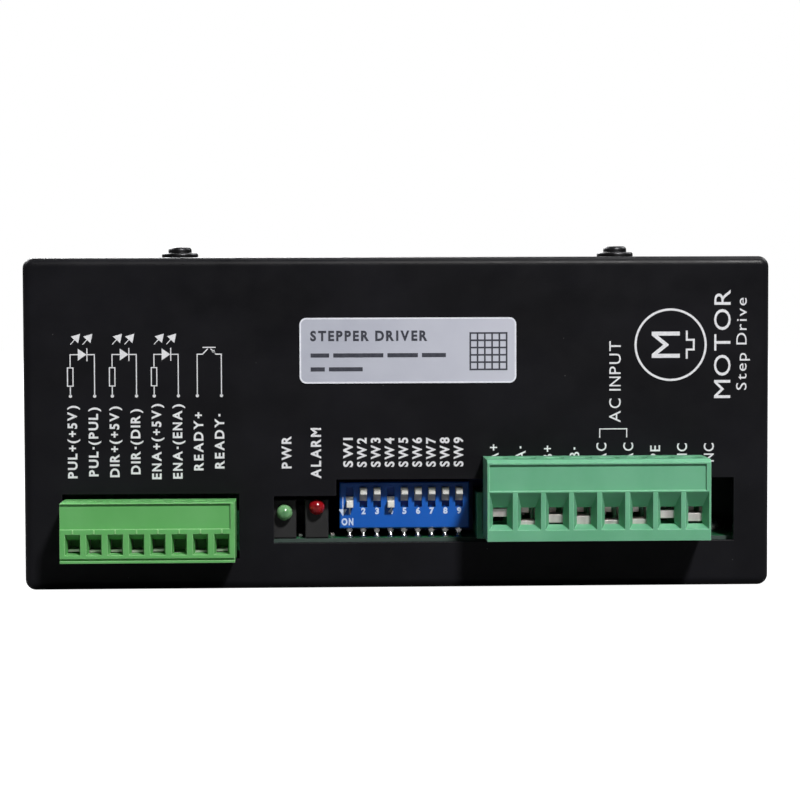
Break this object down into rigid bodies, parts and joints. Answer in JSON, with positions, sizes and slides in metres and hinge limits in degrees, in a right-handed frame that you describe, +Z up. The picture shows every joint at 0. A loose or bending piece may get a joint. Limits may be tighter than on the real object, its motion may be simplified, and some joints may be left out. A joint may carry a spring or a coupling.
{
  "type": "stepper motor driver module",
  "caption": "Black steel driver module on a finned heat sink, with a printed connector panel, plug-in green terminal blocks, a blue slide-switch bank and two indicator lamps.",
  "frame": {"origin": "centre of the rear mounting face, midway between the four slots", "axes": "+X to the right along the connector panel as seen from in front of it, -Y out of the connector panel, +Y into the surface that it is mounted on, +Z up"},
  "size_m": [0.151, 0.1082, 0.063],
  "materials": {
    "panel_paint": "satin black powder coat with printed legends",
    "case_paint": "fine-textured black powder coat",
    "black_anodised": "black anodised extrusion",
    "label_silver": "silver polyester film",
    "black_steel": "black zinc",
    "zinc_steel": "bright zinc",
    "board_green": "green solder mask on glass-epoxy",
    "tinned_pin": "tinned",
    "header_green": "moulded, satin",
    "signal_green": "moulded, satin",
    "power_green": "moulded, satin",
    "tinned_steel": "tinned",
    "switch_blue": "moulded, slight gloss",
    "knob_white": "moulded",
    "holder_black": "moulded",
    "led_green": "diffused epoxy, unlit",
    "led_red": "tinted epoxy, unlit",
    "fan_black": "moulded",
    "plated_wire": "bright plated wire",
    "package_black": "moulded epoxy",
    "pad_grey": "silicone pad",
    "sleeve_black": "shrink sleeve",
    "ferrite": "ground ferrite",
    "tape_yellow": "polyester tape",
    "choke_green": "enamelled winding",
    "relay_blue": "moulded case",
    "fuse_glass": "glass tube with plated caps"
  },
  "bodies": {
    "case": {"alarm_led": "led_red", "base_tray": "case_paint", "board_pins": "tinned_pin", "board_standoffs": "zinc_steel", "bridge_rectifier": "package_black", "bulk_capacitors": "sleeve_black", "case_screws": "black_steel", "control_board": "board_green", "dip_switch_body": "switch_blue", "fan_frame": "fan_black", "fan_guard": "plated_wire", "filter_choke": "choke_green", "front_panel": "panel_paint", "heat_sink": "black_anodised", "inner_screws": "zinc_steel", "inrush_relay": "relay_blue", "insulating_pad": "pad_grey", "led_holders": "holder_black", "line_fuse": "fuse_glass", "main_board": "board_green", "mounting_plate": "case_paint", "panel_screws": "black_steel", "power_header": "header_green", "power_led": "led_green", "power_transistors": "package_black", "rating_label": "label_silver", "signal_header": "header_green", "top_cover": "case_paint", "transformer_core": "ferrite", "transformer_winding": "tape_yellow"},
    "dip_slider_1": {"dip_slider_1": "knob_white"},
    "dip_slider_2": {"dip_slider_2": "knob_white"},
    "dip_slider_3": {"dip_slider_3": "knob_white"},
    "dip_slider_4": {"dip_slider_4": "knob_white"},
    "dip_slider_5": {"dip_slider_5": "knob_white"},
    "dip_slider_6": {"dip_slider_6": "knob_white"},
    "dip_slider_7": {"dip_slider_7": "knob_white"},
    "dip_slider_8": {"dip_slider_8": "knob_white"},
    "dip_slider_9": {"dip_slider_9": "knob_white"},
    "signal_clamp_1": {"signal_clamp_1": "tinned_steel"},
    "signal_clamp_2": {"signal_clamp_2": "tinned_steel"},
    "signal_clamp_3": {"signal_clamp_3": "tinned_steel"},
    "signal_clamp_4": {"signal_clamp_4": "tinned_steel"},
    "signal_clamp_5": {"signal_clamp_5": "tinned_steel"},
    "signal_clamp_6": {"signal_clamp_6": "tinned_steel"},
    "signal_clamp_7": {"signal_clamp_7": "tinned_steel"},
    "signal_clamp_8": {"signal_clamp_8": "tinned_steel"},
    "power_clamp_1": {"power_clamp_1": "tinned_steel"},
    "power_clamp_2": {"power_clamp_2": "tinned_steel"},
    "power_clamp_3": {"power_clamp_3": "tinned_steel"},
    "power_clamp_4": {"power_clamp_4": "tinned_steel"},
    "power_clamp_5": {"power_clamp_5": "tinned_steel"},
    "power_clamp_6": {"power_clamp_6": "tinned_steel"},
    "power_clamp_7": {"power_clamp_7": "tinned_steel"},
    "power_clamp_8": {"power_clamp_8": "tinned_steel"},
    "fan_rotor": {"fan_rotor": "fan_black"},
    "signal_plug": {"signal_plug_body": "signal_green", "signal_plug_terminals": "tinned_steel"},
    "power_plug": {"power_plug_body": "power_green", "power_plug_terminals": "tinned_steel"}
  },
  "joints": [
    {"name": "dip_slider_1_slide", "type": "slide", "parent": "case", "child": "dip_slider_1", "axis": [0, 0, 1], "range_m": [0, 0.0024]},
    {"name": "dip_slider_2_slide", "type": "slide", "parent": "case", "child": "dip_slider_2", "axis": [0, 0, 1], "range_m": [-0.0024, 0]},
    {"name": "dip_slider_3_slide", "type": "slide", "parent": "case", "child": "dip_slider_3", "axis": [0, 0, 1], "range_m": [-0.0024, 0]},
    {"name": "dip_slider_4_slide", "type": "slide", "parent": "case", "child": "dip_slider_4", "axis": [0, 0, 1], "range_m": [0, 0.0024]},
    {"name": "dip_slider_5_slide", "type": "slide", "parent": "case", "child": "dip_slider_5", "axis": [0, 0, 1], "range_m": [-0.0024, 0]},
    {"name": "dip_slider_6_slide", "type": "slide", "parent": "case", "child": "dip_slider_6", "axis": [0, 0, 1], "range_m": [-0.0024, 0]},
    {"name": "dip_slider_7_slide", "type": "slide", "parent": "case", "child": "dip_slider_7", "axis": [0, 0, 1], "range_m": [-0.0024, 0]},
    {"name": "dip_slider_8_slide", "type": "slide", "parent": "case", "child": "dip_slider_8", "axis": [0, 0, 1], "range_m": [-0.0024, 0]},
    {"name": "dip_slider_9_slide", "type": "slide", "parent": "case", "child": "dip_slider_9", "axis": [0, 0, 1], "range_m": [-0.0024, 0]},
    {"name": "signal_plug_pull", "type": "slide", "parent": "case", "child": "signal_plug", "axis": [0, -1, 0], "range_m": [0, 0.012]},
    {"name": "power_plug_pull", "type": "slide", "parent": "case", "child": "power_plug", "axis": [0, -1, 0], "range_m": [0, 0.014]},
    {"name": "signal_clamp_1_rise", "type": "slide", "parent": "signal_plug", "child": "signal_clamp_1", "axis": [0, 0, 1], "range_m": [-0.0007, 0.0012]},
    {"name": "signal_clamp_2_rise", "type": "slide", "parent": "signal_plug", "child": "signal_clamp_2", "axis": [0, 0, 1], "range_m": [-0.00055, 0.00135]},
    {"name": "signal_clamp_3_rise", "type": "slide", "parent": "signal_plug", "child": "signal_clamp_3", "axis": [0, 0, 1], "range_m": [-0.0006, 0.0013]},
    {"name": "signal_clamp_4_rise", "type": "slide", "parent": "signal_plug", "child": "signal_clamp_4", "axis": [0, 0, 1], "range_m": [-0.0005, 0.0014]},
    {"name": "signal_clamp_5_rise", "type": "slide", "parent": "signal_plug", "child": "signal_clamp_5", "axis": [0, 0, 1], "range_m": [-0.00065, 0.00125]},
    {"name": "signal_clamp_6_rise", "type": "slide", "parent": "signal_plug", "child": "signal_clamp_6", "axis": [0, 0, 1], "range_m": [0, 0.0019]},
    {"name": "signal_clamp_7_rise", "type": "slide", "parent": "signal_plug", "child": "signal_clamp_7", "axis": [0, 0, 1], "range_m": [-0.00035, 0.00155]},
    {"name": "signal_clamp_8_rise", "type": "slide", "parent": "signal_plug", "child": "signal_clamp_8", "axis": [0, 0, 1], "range_m": [-0.0006, 0.0013]},
    {"name": "power_clamp_1_rise", "type": "slide", "parent": "power_plug", "child": "power_clamp_1", "axis": [0, 0, 1], "range_m": [-0.00225, 0.00005]},
    {"name": "power_clamp_2_rise", "type": "slide", "parent": "power_plug", "child": "power_clamp_2", "axis": [0, 0, 1], "range_m": [0, 0.0023]},
    {"name": "power_clamp_3_rise", "type": "slide", "parent": "power_plug", "child": "power_clamp_3", "axis": [0, 0, 1], "range_m": [-0.0011, 0.0012]},
    {"name": "power_clamp_4_rise", "type": "slide", "parent": "power_plug", "child": "power_clamp_4", "axis": [0, 0, 1], "range_m": [-0.0008, 0.0015]},
    {"name": "power_clamp_5_rise", "type": "slide", "parent": "power_plug", "child": "power_clamp_5", "axis": [0, 0, 1], "range_m": [0, 0.0023]},
    {"name": "power_clamp_6_rise", "type": "slide", "parent": "power_plug", "child": "power_clamp_6", "axis": [0, 0, 1], "range_m": [-0.0002, 0.0021]},
    {"name": "power_clamp_7_rise", "type": "slide", "parent": "power_plug", "child": "power_clamp_7", "axis": [0, 0, 1], "range_m": [-0.0018, 0.0005]},
    {"name": "power_clamp_8_rise", "type": "slide", "parent": "power_plug", "child": "power_clamp_8", "axis": [0, 0, 1], "range_m": [-0.0012, 0.0011]},
    {"name": "fan_spin", "type": "hinge", "parent": "case", "child": "fan_rotor", "pos_m": [0.058, -0.058, -0.001], "axis": [1, 0, 0], "continuous": true}
  ]
}
